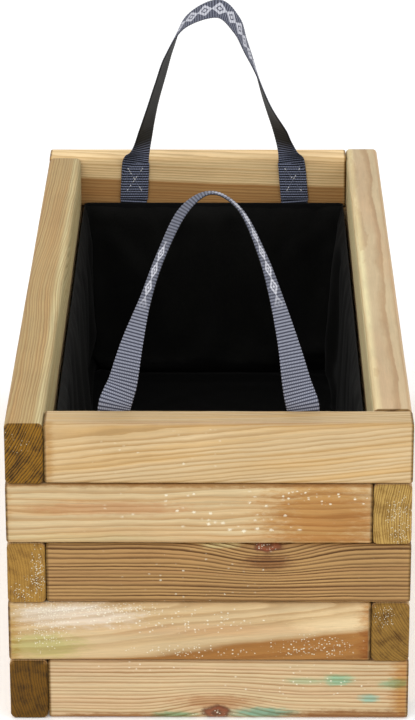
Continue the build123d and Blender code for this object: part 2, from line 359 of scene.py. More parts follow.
def wood(name, **look):
    """Softwood from its growth rings, knots, fibre, stains and specks of resin."""
    k = {**WOOD, **look}
    seed = k["seed"]
    s = Shade(name, Specular_IOR_Level=0.2)
    place = s.field("place")
    x, y, _ = s.split(place)
    edge, end, _ = s.split(s.field("mark"))
    along, deep, radius = ring_distance(s, k, place)
    radius, heart, ripple = push_round_knots(s, k, place, radius)
    phase, late = late_wood(s, k, place, radius)
    fibre = s.noise(s.scaled(place, (0.05, 1.6, 1.6)), 1.0, 4.0, 0.7, seed + 1)
    streak = s.noise(s.join(along * 0.006, radius * 0.8, deep * 0.05), 1.0, 4.0, 0.7, seed + 2)
    cloud = s.noise(s.scaled(place, (0.012, 0.02, 0.02)), 1.0, 3.0, 0.55, seed + 4)
    band = s.noise(s.join(along * 0.004, phase * 0.55, 0.0), 1.0, 3.0, 0.6, seed + 15)
    pale = s.mix(s.step(band, 0.42, 0.66) * k["blushing"], rgb(*k["early"]), rgb(*k["blush"]))
    side = s.mix(late * k["contrast"], pale, rgb(*k["late"]))
    cut, pores = end_grain(s, k, place, late)
    colour = s.mix(end, side, cut)
    tone = (fibre - 0.5) * (2.4 * k["streak"]) + (streak - 0.5) * (3.0 * k["streak"]) + (cloud - 0.5) * 0.4
    tone = (tone + 1.0) * k["tone"]
    colour = s.mix(1.0, colour, s.join(tone, tone * 0.995, tone * 0.98), "MULTIPLY")
    if k["knots"]:
        core = s.mix(ripple * 0.7, rgb(128, 66, 40), rgb(52, 26, 17))
        colour = s.mix(heart * 0.9, colour, core)
    if k["heartwood"]:
        reach, tint, much = k["heartwood"]
        inner = s.step(radius, reach + 0.9, reach - 0.9) * (1.0 - end) * much
        colour = s.mix(inner, colour, ratio(tint, k["early"]), "MULTIPLY")
    wall_face = s.step(y * k["face"], 6.0, 12.0) * (1.0 - end)
    end_face = end * s.step(x * k["end_way"], 0.0, 20.0)
    colour = stained(s, k, place, colour, wall_face, x)
    rows = [(wall_face, x, (0.75, 1.0, 1.0), *row) for row in k["specks"]]
    rows += [(end_face, y, (0.0, 1.0, 1.0), *row) for row in k["end_specks"]]
    glint = pale_specks(s, k, place, rows)
    if rows:
        colour = s.mix(glint * 0.75, colour, rgb(240, 234, 210))
    # painted shade: the rounded long edges are darkened in noisy patches towards the late-wood colour, as
    # dirt and shade in the seams between battens
    wear_and_edge_shade = edge * s.noise(s.scaled(place, (0.05, 0.3, 0.3)), 1.0, 3.0, 0.6, seed + 6)
    colour = s.mix(wear_and_edge_shade * 0.45, colour, rgb(*k["late"]))
    height = fibre * 0.5 + streak * 0.25 - late * 0.35 + glint * 0.9 + pores * end * 0.6
    rough = 0.5 + fibre * 0.25
    return s.done(colour, rough, s.bump(height, 0.5 * MM, 0.55))


def batten_section(half_t, half_h, round_r):
    """Points round a batten, with the way out at each and 1 where it is a rounded edge."""
    made = []
    flats = (
        ((1, 0), (half_t, -half_h + round_r), (half_t, half_h - round_r), 10),
        ((0, 1), (half_t - round_r, half_h), (-half_t + round_r, half_h), 7),
        ((-1, 0), (-half_t, half_h - round_r), (-half_t, -half_h + round_r), 10),
        ((0, -1), (-half_t + round_r, -half_h), (half_t - round_r, -half_h), 7),
    )
    for index, (out, a, b, count) in enumerate(flats):
        for i in range(count + 1):
            f = i / count
            made.append((a[0] + (b[0] - a[0]) * f, a[1] + (b[1] - a[1]) * f, *out, 0.0))
        centre = ((b[0] - out[0] * round_r), (b[1] - out[1] * round_r))
        for i in range(1, 4):
            turn = radians(22.5 * i + 90 * index)
            out_p, out_q = cos(turn), sin(turn)
            made.append((centre[0] + out_p * round_r, centre[1] + out_q * round_r, out_p, out_q, 1.0))
    return made


WAYS = {
    "front": (Vector((1, 0, 0)), Vector((0, -1, 0))),
    "rear": (Vector((-1, 0, 0)), Vector((0, 1, 0))),
    "left": (Vector((0, -1, 0)), Vector((-1, 0, 0))),
    "right": (Vector((0, 1, 0)), Vector((1, 0, 0))),
}
WAYS["slat"] = WAYS["front"]


BUTT = 0.7  # millimetres that a butting end is longer, to close the joint


def batten(node, wall, name, slot="board_wood", ease=3.5, spacing=9.0, wear_and_edge_shade=1.0, **look):
    """A sawn batten in place of a CAD board: eased edges, soft ends, and slight waves and dents."""
    k = {**WOOD, **look}
    low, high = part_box(node)
    centre = (low + high) / 2
    way, out = WAYS[wall]
    up = Vector((0, 0, 1))
    size = high - low
    half_l = abs(size.dot(way)) / 2 / MM
    half_t = abs(size.dot(out)) / 2 / MM
    half_h = size.z / 2 / MM
    count = max(2, ceil((2 * half_l - 8) / spacing))
    ends = [(0.0, 1.3), (0.35, 0.6), (1.0, 0.2), (2.4, 0.0), (4.0, 0.0)]
    outer = abs(cad_hi.dot(way)) / MM
    tips = [side * half_l for side in (-1, 1)]
    if slot == "board_wood":
        # the end that butts against another batten nearly touches it
        butts = [abs(centre.dot(way) / MM + tip) < outer - 5 for tip in tips]
        tips = [tip + (BUTT if tip > 0 else -BUTT) * butt for tip, butt in zip(tips, butts)]
    stations = [(tips[0] + u, inset) for u, inset in ends]
    stations += [(-half_l + 4 + (2 * half_l - 8) * i / count, 0.0) for i in range(1, count)]
    stations += [(tips[1] - u, inset) for u, inset in reversed(ends)]
    points, grain, place, mark = [], [], [], []
    shift = Vector((k["seed"] * 13.7, k["seed"] * 5.1, 0))

    def put(u, p, q, edge, end):
        points.append(centre + (way * u + out * p + up * q) * MM)
        place.append((u, p, q))
        pith, tilt = k["pith"], k["tilt"]
        grain.append((u, p - pith[0] - tilt[0] * u, q - pith[1] - tilt[1] * u))
        mark.append((edge, end, 0.0))

    def ring(u, inset):
        for p, q, out_p, out_q, edge in batten_section(half_t - inset, half_h - inset, ease - inset * 0.5):
            spot = Vector((u * 0.011, p * 0.05, q * 0.05)) + shift
            wave = 0.5 + 0.5 * noise.noise(spot)
            nick = 0.5 + 0.5 * noise.noise(Vector((u * 0.09, p * 0.2, q * 0.2)) + shift)
            sink = wear_and_edge_shade * (0.3 * wave + edge * (0.12 + 0.75 * nick**3))
            yield p - out_p * sink, q - out_q * sink, edge

    for u, inset in stations:
        for p, q, edge in ring(u, inset):
            put(u, p, q, edge, 1.0 if inset > 0.1 else 0.0)
    around = len(points) // len(stations)
    faces = tube_faces(len(stations), around)
    flat = []
    for (u, inset), is_last in ((stations[0], False), (stations[-1], True)):
        first = len(points)
        for p, q, _ in ring(u, inset):
            put(u, p, q, 0.0, 1.0)
        loop = list(range(first, first + around))
        flat.append(len(faces))
        faces.append(tuple(loop if is_last else reversed(loop)))
    material = wood(name + "_wood", **look)
    fields = {"grain": grain, "place": place, "mark": mark}
    made = mesh_object(name, points, faces, material, fields, flat)
    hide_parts(node)
    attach(made, "planter_box")


# The front battens, and the side battens whose ends show between them, are each a piece of wood
# of their own. Places on them are in millimetres from the batten's middle.
LOOKS = {
    "course_5_front_board": dict(
        pith=(-30, 38), tilt=(0.0, 0.10), ring=2.7, warp=3.0, contrast=0.62, seed=1.0,
        early=(221, 194, 150), late=(170, 126, 62), blush=(216, 177, 118), blushing=0.75, tone=0.785,
        stains=((0, 26, 170, 3.5, (206, 176, 144), 0.7), (-141, 0, 10, 60, (190, 148, 88), 0.7)),
        specks=((-60, 4, 120, 26, 2.6, 0.06),)),
    "course_4_front_board": dict(
        pith=(-30, 66), tilt=(0.0, 0.012), ring=4.6, warp=8.0, contrast=0.62, seed=2.0, streak=0.22,
        early=(222, 198, 154), late=(174, 128, 70), blush=(217, 180, 130), blushing=1.0, tone=0.775,
        stains=((104, -2, 66, 50, (192, 142, 76), 0.9), (-152, 0, 18, 60, (196, 144, 72), 0.95),
                # the brown strip along the top edge, (0, 25, 220, 4, ...), is a painted shadow under the
                # batten above
                (0, 25, 220, 4, (158, 118, 70), 0.9), (-60, 5, 90, 8, (206, 150, 102), 0.5),
                (-90, -20, 100, 7, (220, 200, 150), 0.6)),
        specks=((10, 8, 90, 26, 3.2, 0.13), (96, 14, 56, 8, 2.4, 0.42), (40, -6, 60, 18, 4.0, 0.22))),
    "course_3_front_board": dict(
        pith=(-30, 84), tilt=(0.0, 0.0), ring=2.9, warp=2.0, contrast=0.98, seed=3.0,
        early=(192, 151, 96), late=(98, 64, 28), blush=(176, 132, 84), blushing=0.6, tone=0.79,
        knots=((30, 15, 25, 8.5, -12.0, 27),),
        stains=((30, 10, 26, 9, (140, 92, 50), 0.8), (-6, 24, 20, 3.5, (240, 222, 160), 0.9)),
        specks=((-20, 0, 90, 34, 2.2, 0.08), (30, 23, 12, 5, 1.6, 0.5))),
    "course_2_front_board": dict(
        pith=(-90, -72), tilt=(0.02, 0.10), ring=5.5, warp=6.0, contrast=0.46, seed=4.0, streak=0.18,
        early=(221, 194, 150), late=(176, 134, 80), blush=(213, 174, 120), tone=0.78,
        heartwood=(119.6, (176, 122, 58), 0.95),
        stains=((110, 10, 44, 13, (240, 214, 168), 0.95), (-156, 0, 30, 70, (192, 152, 70), 1.0),
                (-114, -12, 46, 16, (192, 184, 116), 0.8), (-90, 14, 70, 14, (240, 228, 212), 0.9),
                (152, 4, 24, 70, (176, 120, 56), 1.0), (20, 2, 120, 7, (226, 184, 138), 0.5)),
        specks=((-84, 20, 80, 9, 1.5, 0.95), (-112, 4, 26, 26, 1.4, 0.7), (-20, 10, 120, 14, 1.9, 0.35),
                (96, -12, 46, 12, 1.5, 0.7), (0, -16, 60, 8, 1.6, 0.5))),
    "course_1_front_board": dict(
        pith=(-34, 96), tilt=(0.0, -0.01), ring=2.9, warp=2.0, contrast=0.8, seed=5.0,
        early=(224, 200, 158), late=(170, 128, 80), blush=(221, 186, 146), blushing=0.7, tone=0.805,
        knots=((-10, 15, -20, 8.5, 10.0, 22),),
        stains=((-44, -22, 26, 5, (150, 184, 140), 0.95), (26, -20, 34, 7, (140, 186, 160), 0.95),
                (86, 9, 16, 7, (160, 204, 166), 0.95), (60, 8, 20, 4, (190, 206, 164), 0.8),
                (110, -7, 12, 5, (164, 206, 184), 0.95), (130, 6, 18, 6, (170, 200, 160), 0.9),
                (96, -22, 80, 7, (156, 108, 58), 0.9), (140, 0, 18, 60, (200, 152, 88), 0.95),
                (-90, -23, 70, 4, (160, 116, 66), 0.9), (-10, -10, 44, 8, (190, 140, 92), 0.7)),
        specks=((60, 8, 90, 20, 2.0, 0.14), (-60, 20, 80, 6, 2.0, 0.16), (-14, -22, 30, 5, 1.6, 0.5))),
    "course_5_left_board": dict(
        pith=(100, 58), ring=2.1, seed=6.0, contrast=0.62, warp=3.0, tilt=(0.012, 0.02), tone=0.8, face=-1,
        early=(200, 171, 118), late=(150, 110, 62), blush=(200, 157, 100),
        knots=((10, 0, 25, 0.01, 6.0, 60),),
        stains=((0, 0, 3000, 300, (222, 208, 158), 1.0),),
        end=(158, 111, 22), end_late=(52, 31, 2), end_specks=((6, 10, 16, 18, 1.2, 0.08),)),
    "course_4_right_board": dict(
        pith=(130, -6), ring=1.9, seed=7.0, end=(196, 160, 88), end_late=(126, 92, 36), end_way=-1,
        early=(208, 176, 130), late=(170, 126, 78), end_specks=((5, -2, 11, 26, 1.2, 0.85),)),
    "course_3_left_board": dict(
        pith=(130, -14), ring=2.2, seed=8.0, end=(176, 134, 60), end_late=(114, 78, 28), end_contrast=0.4,
        end_specks=((-9, 0, 7, 26, 1.35, 1.1), (2, -14, 12, 14, 1.3, 0.4))),
    "course_2_right_board": dict(
        pith=(60, 44), ring=2.1, seed=9.0, end=(156, 118, 50), end_late=(84, 54, 12), end_way=-1,
        end_contrast=0.5, end_specks=((-4, 14, 12, 12, 1.1, 0.4),)),
    "course_1_left_board": dict(
        pith=(-130, 24), ring=2.1, seed=10.0, end=(118, 80, 8), end_late=(50, 31, 2), end_contrast=0.5),
    "course_5_right_board": dict(
        pith=(-12, 88), ring=3.0, seed=11.0, contrast=0.65, warp=2.0, tone=0.76, face=-1,
        early=(220, 196, 156), late=(180, 138, 94), blush=(218, 182, 142), end=(150, 118, 70),
        stains=((0, 0, 3000, 300, (254, 240, 188), 1.0),)),
    # course_5_rear_board has a paler early colour and tone 1.10: painted light on its inner face, which
    # lies in shade
    "course_5_rear_board": dict(
        pith=(-20, -60), tilt=(0.0, 0.035), ring=2.8, seed=12.0, contrast=0.6, face=-1, tone=1.10, warp=2.0,
        early=(226, 198, 150), late=(176, 136, 80), blush=(222, 184, 132),
        heartwood=(60.5, (168, 126, 76), 0.95)),
}


def any_look(index):
    """An ordinary piece of wood for a batten that isn't singled out."""
    pick = random.Random(400 + index)
    shade = pick.uniform(-12, 10)
    knots = []
    for _ in range(pick.choice((0, 1, 1, 2))):
        size = pick.uniform(4, 8)
        along, up = pick.uniform(-250, 250), pick.uniform(-18, 18)
        knots.append((along, 15, up, size, pick.choice((-7, 7)), size * 2.6))
    return dict(
        pith=(pick.uniform(-70, -20), pick.choice((-1, 1)) * pick.uniform(20, 90)),
        tilt=(0, pick.uniform(-0.02, 0.02)), ring=pick.uniform(2.8, 5.0), warp=pick.uniform(2, 5),
        contrast=pick.uniform(0.5, 0.85), seed=20.0 + index, knots=knots,
        early=(208 + shade, 180 + shade, 134 + shade), late=(168 + shade, 126 + shade, 76 + shade))


def make_trough():
    """The battens, the slatted floor on its bearers, and bright steel on the CAD screws."""
    count = 0
    for course in range(1, 6):
        for wall in ("front", "rear", "left", "right"):
            count += 1
            node = f"course_{course}_{wall}_board"
            look = LOOKS.get(node) or any_look(count)
            spacing = 9.0 if wall in ("front", "rear") else 12.0
            batten(node, wall, f"batten_{course}_{wall}", spacing=spacing, **look)
    for number in range(1, 9):
        batten(f"floor_slat_{number}", "slat", f"slat_{number}", "floor_wood", 1.5, 20.0, 0.5,
               **{**any_look(40 + number), "knots": ()})
    for wall in ("left", "right"):
        batten(f"floor_bearer_{wall}", wall, f"bearer_{wall}", "floor_wood", 1.2, 20.0, 0.5,
               **{**any_look(60 + len(wall)), "knots": ()})
    steel = screw_steel()
    for node, piece in frame["nodes"].items():
        if "screws" in node:
            piece.data.materials.clear()
            piece.data.materials.append(steel)


def screw_steel():
    s = Shade("screw_steel", Metallic=1.0)
    place = s.place()
    cloud = s.noise(place, 900.0, 3.0, 0.6)
    colour = s.mix(cloud, rgb(196, 176, 118), rgb(150, 132, 88))
    return s.done(colour, 0.28 + cloud * 0.25, s.bump(cloud, 0.05 * MM, 0.4))


# ---- fabric
def felt(name, tint, pale, low=0.0):
    """Matt nonwoven felt with a faint pressed grid of dots. Below the height low it is painted nearly
    black, as shade deep in the bag.
    """
    s = Shade(name, Specular_IOR_Level=0.09, Sheen_Weight=0.02, Sheen_Roughness=0.5)
    place = s.place()
    fuzz = s.noise(place, 2600.0, 3.0, 0.7)
    cloud = s.noise(place, 22.0, 4.0, 0.6)
    gap, _ = s.cells(place, 620.0, 0.25)
    colour = s.mix(s.step(fuzz * 0.6 + cloud * 0.5, 0.3, 0.85), rgb(*tint), rgb(*pale))
    if low:
        # painted shade: below the height low the felt fades to nearly black, standing in for shade deep in
        # the bag
        painted_floor_shade = s.step(s.split(place)[2] + (cloud - 0.5) * (20 * MM), low + 6 * MM, low)
        colour = s.mix(painted_floor_shade * 0.97, colour, rgb(0, 0, 0))
    height = fuzz * 0.6 + s.step(gap, 0.15, 0.45) * 0.6 + cloud * 2.0
    return s.done(colour, 0.66 + fuzz * 0.14, s.bump(height, 0.25 * MM, 0.5))


RIB = 2.5  # millimetres from rib to rib
WEB_HALF = 12.5  # half the webbing's width, in millimetres
SPLAY_RUN = 60  # millimetres of tail over which a foot drifts aside by its splay
WEB_GROUND, WEB_RIB, CROWN_RIB = (50, 53, 67), (150, 153, 168), (118, 121, 136)
# painted shade: the foot colours' near-black ground paints the feet darker than the front strap, and the
# back colours paint the webbing's back dark and plain where it turns away up a leg
SHADED_FOOT_GROUND, FOOT_RIB = (3, 5, 12), (168, 177, 208)
SHADED_BACK_GROUND, SHADED_BACK_RIB = (14, 14, 14), (42, 42, 39)
DIAMOND = (210, 211, 220)


def webbing(name, plain_from, plain_to):
    """Ribbed polyester webbing. Its field "web" is along it from the crown, across it, and its side:
    1 for the patterned side, 0 for the back, painted plain and dark as shade, and between them for the back
    near a foot.
    The pattern is left out of one stretch along it."""
    s = Shade(name, Specular_IOR_Level=0.18, Sheen_Weight=0.03, Sheen_Roughness=0.4)
    along, across, side = s.split(s.field("web"))
    row = along / RIB
    wave = s.math("FRACT", row)
    crest = s.step(s.math("ABSOLUTE", wave - 0.5), 0.42, 0.12)
    odd = s.math("FLOOR", s.math("FRACT", row * 0.5) * 2.0)
    warp = s.math("FRACT", across / 1.6 + odd * 0.5)
    thread = s.step(s.math("ABSOLUTE", warp - 0.5), 0.5, 0.15)
    weave = crest * (thread * 0.6 + 0.4)
    fuzz = s.noise(s.join(along, across, side), 1.4, 3.0, 0.6)
    lint = s.step(s.noise(s.join(along, across, side), 0.7, 4.0, 0.75, 3.0), 0.56, 0.7)
    crown = s.step(s.math("ABSOLUTE", along), 112.0, 92.0)
    middle, half = (plain_from + plain_to) / 2, (plain_to - plain_from) / 2
    woven = s.step(s.math("ABSOLUTE", along - middle), half - 2.0, half + 2.0)
    rib = s.mix(crown, rgb(*WEB_RIB), rgb(*CROWN_RIB))
    front = s.mix(weave, rgb(*WEB_GROUND), rib)
    shaded_foot = s.mix(weave * crest * (lint * 0.35 + 0.65), rgb(*SHADED_FOOT_GROUND), rgb(*FOOT_RIB))
    # painted shade: the back face is dark and plain up a leg, and takes the foot's ribbed colours near a
    # foot
    shaded_back = s.mix(weave * 0.6 + fuzz * 0.3, rgb(*SHADED_BACK_GROUND), rgb(*SHADED_BACK_RIB))
    colour = s.mix(s.step(side, 0.1, 0.4), shaded_back, shaded_foot)
    patterned = s.step(side, 0.6, 0.9)
    colour = s.mix(patterned, colour, front)
    # a plain woven band of diamonds along the patterned side
    v = s.math("ABSOLUTE", s.math("FRACT", along / 14.0) - 0.5) * 14.0
    dia = v + s.math("ABSOLUTE", across) * 0.85
    line = s.step(s.math("ABSOLUTE", dia - 5.6), 2.1, 1.5)
    core = s.step(dia, 2.4, 1.9)
    band = s.math("MAXIMUM", line, core) * crown * woven
    band = band * s.step(s.math("ABSOLUTE", across), 8.2, 7.8) * patterned
    flecks = crown * lint * patterned * woven * 0.5
    pattern = s.math("MAXIMUM", band * (0.6 + weave * 0.4), flecks)
    colour = s.mix(pattern, colour, rgb(*DIAMOND))
    height = crest * 0.6 + thread * crest * 0.5 + band * 0.2
    return s.done(colour, 0.55 + fuzz * 0.2, s.bump(height, 0.3 * MM, 0.7))


def hinge(name):
    """Where a joint's axis passes."""
    for joint in frame["joints"]:
        if joint["name"] == name:
            return Vector(joint["pos_m"])
    raise ValueError(name)


# stations: across, up in the loop's plane, and the webbing's turn towards edge-on, mm and degrees.
# out is the bag's outside along y, lean is inwards, plain is the stretch without diamonds, and
# splay is how far each hidden tail drifts aside.
HANDLES = {
    "front": dict(
        out=-1, lean=21.9,
        plain=(-54, -2), splay=(0, 0),
        stations=((-73.5, -12, 0), (-72.5, 0, 4), (-69.5, 10, 14), (-66, 20, 26), (-59, 49, 47),
                  (-49, 82, 68), (-37, 116, 73), (-19.5, 151, 72), (2, 164.5, 82), (24, 151, 82),
                  (41, 116, 75), (52, 82, 65), (61, 48, 49), (67, 20, 28), (69.5, 10, 15), (72, 0, 4),
                  (73, -12, 0))),
    "rear": dict(
        out=1, lean=13.7,
        plain=(200, 201), splay=(-3, 5),
        stations=((-75, -14, 0), (-74.2, -6, 8), (-72.5, 1, 24), (-70, 8, 38), (-66.3, 20, 50),
                  (-58.4, 52, 62), (-49.6, 84, 66), (-40.8, 114, 71), (-25.6, 145, 86), (4, 159, 103),
                  (21.5, 142, 103), (29.8, 120, 94), (38, 98, 85), (49.9, 60, 71), (61.4, 32, 54),
                  (65.2, 22, 50), (69, 12, 42), (71.8, 4, 30), (73.8, -4, 11), (74.8, -13, 0))),
}


def edge_round(across):
    """1 over the webbing's width, falling to 0 at its very edge. across runs from -1 to 1."""
    return (1 - min(1, max(0, (abs(across) - 0.9) / 0.1)) ** 2) ** 0.5


def rib_height(along):
    """0 between two ribs and 1 on a rib's crest, at a distance in millimetres."""
    return 0.5 - 0.5 * cos(2 * pi * along / RIB)


def evenly(plane, step):
    """A path's points at even steps, each with its distance from the path's middle."""
    walked, at = [0.0], 0.0
    for a, b in zip(plane, plane[1:]):
        at += hypot(b[0] - a[0], b[1] - a[1])
        walked.append(at)
    count = round(at / step)
    made, i = [], 0
    for n in range(count + 1):
        target = at * n / count
        while i < len(plane) - 2 and walked[i + 1] < target:
            i += 1
        f = (target - walked[i]) / max(walked[i + 1] - walked[i], 1e-6)
        a, b = plane[i], plane[i + 1]
        x, z, turn = (p + (q - p) * f for p, q in zip(a, b))
        made.append((x, z, turn, target - at / 2))
    return made


def strap_path(handle):
    """Points along a handle's middle from one sewn tail to the other, with its width's direction."""
    k = HANDLES[handle]
    out = Vector((0, k["out"], 0))
    pivot = hinge(f"{handle}_handle_hinge")
    low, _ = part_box(f"{handle}_handle_left_tail")
    tail = (pivot.z - low.z) / MM
    steps = 600
    plane = [(k["stations"][0][0] + k["splay"][0], -tail, 0)]
    plane += [spline(k["stations"], i / steps) for i in range(steps + 1)]
    plane.append((k["stations"][-1][0] + k["splay"][1], -tail, 0))
    made = evenly(plane, RIB / 4)
    path = []
    for n, (x, z, turn, s) in enumerate(made):
        a, b = made[max(n - 6, 0)], made[min(n + 6, len(made) - 1)]
        tangent = Vector((b[0] - a[0], 0, b[1] - a[1])).normalized()
        inner = Vector((tangent.z, 0, -tangent.x))
        wide = inner * cos(radians(turn)) + out * sin(radians(turn))
        thick = tangent.cross(wide).normalized()
        # near its foot the turned webbing stands inwards, which keeps its edge clear of the wall
        clear = min(max(1 - z / 30, 0), 1)
        spot = Vector((x, 0, z)) * MM - out * (WEB_HALF * MM * sin(radians(turn)) * clear)
        # it takes up its lean from 3 mm below the hinge to 10 mm above it
        bend = Matrix.Rotation(radians(k["lean"]) * k["out"] * smooth((z + 3) / 13), 4, "X")
        path.append((pivot + bend @ spot, bend @ wide, bend @ thick, s))
    return path


def back_shade_by_height(height):
    """The side value of the webbing's back: painted plain and dark as shade above a foot, ribbed like the
    foot below.
    """
    return 0.5 * min(1.0, max(0.0, 1.0 - height / (26 * MM)))


def strap(handle, material):
    """A handle's webbing in one length, ribbed, from sewn tail to sewn tail."""
    path = strap_path(handle)
    half_w, half_t = WEB_HALF * MM, 0.62 * MM
    columns = [-1, -0.97, -0.9, -0.75, -0.5, -0.25, 0, 0.25, 0.5, 0.75, 0.9, 0.97, 1]
    points, web = [], []
    face_out = path[len(path) // 2][2].z > 0
    pivot = hinge(f"{handle}_handle_hinge")
    for spot, wide, thick, s in path:
        rib = rib_height(s)
        for face in (1, -1):
            for c in columns[::face]:
                swell = half_t * edge_round(c) + 0.2 * MM * rib * edge_round(c)
                tuck = 0.25 * MM * rib * (1 if abs(c) > 0.95 else 0)
                aside = c * half_w + (tuck if c > 0 else -tuck)
                points.append(spot + wide * aside + thick * (face * swell))
                # the back face's side value, set by height, paints it as shade up the leg
                side = 1.0 if (face > 0) == face_out else back_shade_by_height(spot.z - pivot.z)
                web.append((s, c * WEB_HALF, side))
    around = 2 * len(columns)
    rows = len(path)
    faces = tube_faces(rows, around)
    faces.append(tuple(reversed(range(around))))
    faces.append(tuple(range((rows - 1) * around, rows * around)))
    made = mesh_object(f"{handle}_strap", points, faces, material, {"web": web})
    nodes = [f"{handle}_handle_{part}" for part in ("loop", "left_tail", "right_tail")]
    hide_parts(*nodes)
    # the ends of a long bend, 6 mm below and 30 mm above the hinge; no bend is made with them
    bend_from, bend_to = pivot - Vector((0, 0, 6 * MM)), pivot + Vector((0, 0, 30 * MM))
    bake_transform(made)
    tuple(bend_from)
    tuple(bend_to)


def fold_patch(handle, side, material):
    """The webbing's end, folded back over the foot inside the liner."""
    node = f"{handle}_handle_{side}_fold"
    low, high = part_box(node)
    out = HANDLES[handle]["out"]
    middle = (low + high) / 2
    rows = round((high.z - low.z) / MM / (RIB / 4))
    points, faces, web = [], [], []
    columns = [-1, -0.97, -0.9, -0.6, -0.2, 0.2, 0.6, 0.9, 0.97, 1]
    fold_half = 13.1  # the fold spreads a little wider than the webbing
    outer_side, slant = (-1, 12) if side == "left" else (1, 7.5)
    splay = HANDLES[handle]["splay"][side == "right"]
    for row in range(rows + 1):
        turned = min(1.0, (rows - row) * RIB / 4 / 1.5)
        for c in columns:
            slope = slant * MM * max(0.0, c * outer_side) ** 1.3
            z = high.z - slope - (high.z - slope - low.z) * row / rows
            s = (high.z - z) / MM
            swell = (0.5 + 0.5 * turned) * (1.2 + 0.3 * rib_height(s)) * edge_round(c)
            lift = 0.25 * sin(s * 0.3 + c) + 0.25
            y = (low.y if out < 0 else high.y) - out * min(swell + lift, 1.6) * MM
            drift = splay * (high.z - z) / (SPLAY_RUN * MM)
            points.append(Vector((middle.x + (c * fold_half + drift) * MM, y, z)))
            web.append((s, c * WEB_HALF, 0.5))
    wide = len(columns)
    for row in range(rows):
        for i in range(wide - 1):
            a, b = row * wide + i, (row + 1) * wide + i
            faces.append((a, a + 1, b + 1, b) if out < 0 else (a, b, b + 1, a + 1))
    made = mesh_object(f"{handle}_{side}_fold", points, faces, material, {"web": web})
    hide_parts(node)
    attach(made, "liner_bag")


def thread_shade():
    """Twisted thread, from dull navy to white by a field on its points; the white is a painted highlight, a
    glint on a few stitches.
    """
    s = Shade("stitch_thread", Sheen_Weight=0.2)
    ply = s.noise(s.place(), 3200.0, 2.0, 0.6)
    painted_glint = s.split(s.field("painted_glint"))[0]
    dull = s.mix(ply, rgb(62, 68, 92), rgb(112, 119, 144))
    colour = s.mix(painted_glint, dull, s.mix(ply, rgb(206, 208, 214), rgb(240, 240, 242)))
    return s.done(colour, 0.5, s.bump(ply, 0.1 * MM, 0.5))


def stitches(name, node, material, rows):
    """Separate stitches along straight rows: each a short arched thread. rows are pairs of points,
    the way out of the cloth, and whether the stitches at the row's ends and middle stand out, thicker and
    painted white as glints."""
    points, faces, painted_glint = [], [], []
    pick = random.Random(71)
    for a, b, normal, glinting_row in rows:
        run = b - a
        count = max(1, round(run.length / (2.6 * MM)))
        way = run.normalized()
        side = way.cross(normal).normalized()
        for i in range(count):
            start = a + run * (i + 0.12) / count
            stop = a + run * (i + 0.88) / count
            first = len(points)
            nearness = min(i, count - 1 - i, abs(i - count // 2) + 0.5)
            chance = (0.95, 0.5, 0.1)[min(2, int(nearness))]
            # painted highlight: a chosen stitch is painted white and made thicker, as a glint
            stitch_glint = 1.0 if glinting_row and pick.random() < chance else 0.12 * pick.random()
            fat = 1.5 if stitch_glint == 1.0 else 1.0
            for f in (0, 0.2, 0.5, 0.8, 1.0):
                mid = start.lerp(stop, f) + normal * (0.36 * sin(pi * f) - 0.1) * MM
                r = (0.26 if 0 < f < 1 else 0.16) * fat * MM
                painted_glint += [(stitch_glint, 0.0, 0.0)] * 5
                for turn in range(5):
                    angle = 2 * pi * turn / 5
                    points.append(mid + side * (r * cos(angle)) + normal * (r * sin(angle)))
            faces += tube_faces(5, 5, first)
            faces.append(tuple(reversed(range(first, first + 5))))
            faces.append(tuple(range(first + 20, first + 25)))
    made = mesh_object(name, points, faces, material, {"painted_glint": painted_glint})
    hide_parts(node)
    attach(made, "liner_bag")


def box_rows(middle, half_x, half_z, normal, drift=0.0):
    """The rows of a box with a cross in it. drift is how far its foot stands aside of its middle."""
    corners = [
        middle + Vector((sx * half_x - sz * drift, 0, sz * half_z))
        for sx, sz in ((-1, -1), (1, -1), (1, 1), (-1, 1))
    ]
    pairs = [(0, 1), (1, 2), (2, 3), (3, 0), (0, 2), (1, 3)]
    # the cross's two diagonals are the rows whose stitches get painted glints
    return [(corners[i], corners[j], normal, i % 2 == j % 2) for i, j in pairs]


def make_handles():
    """Both handles: webbing, folded ends, and the box stitching on and behind each foot."""
    thread = thread_shade()
    fold_box, anchor_box = (7.3 * MM, 11.5 * MM), (7 * MM, 8 * MM)
    for handle in ("front", "rear"):
        web = webbing(f"{handle}_webbing", *HANDLES[handle]["plain"])
        strap(handle, web)
        out = HANDLES[handle]["out"]
        normal = Vector((0, -out, 0))
        fold_rows, anchor_rows = [], []
        for side in ("left", "right"):
            fold_patch(handle, side, web)
            low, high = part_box(f"{handle}_handle_{side}_fold")
            face = high.y if out < 0 else low.y
            splay = HANDLES[handle]["splay"][side == "right"]
            aside = splay * (high.z - low.z) / (2 * SPLAY_RUN)
            middle = Vector(((low.x + high.x) / 2 + aside, face, (low.z + high.z) / 2 + 2 * MM))
            fold_rows += box_rows(middle, *fold_box, normal, splay * fold_box[1] / SPLAY_RUN)
            low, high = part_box(f"{handle}_anchor_stitching")
            face = low.y if out < 0 else high.y
            middle = Vector((middle.x, face, (low.z + high.z) / 2))
            anchor_rows += box_rows(middle, *anchor_box, normal)
        stitches(f"{handle}_box_stitches", f"{handle}_fold_stitching", thread, fold_rows)
        stitches(f"{handle}_anchor_stitches", f"{handle}_anchor_stitching", thread, anchor_rows)


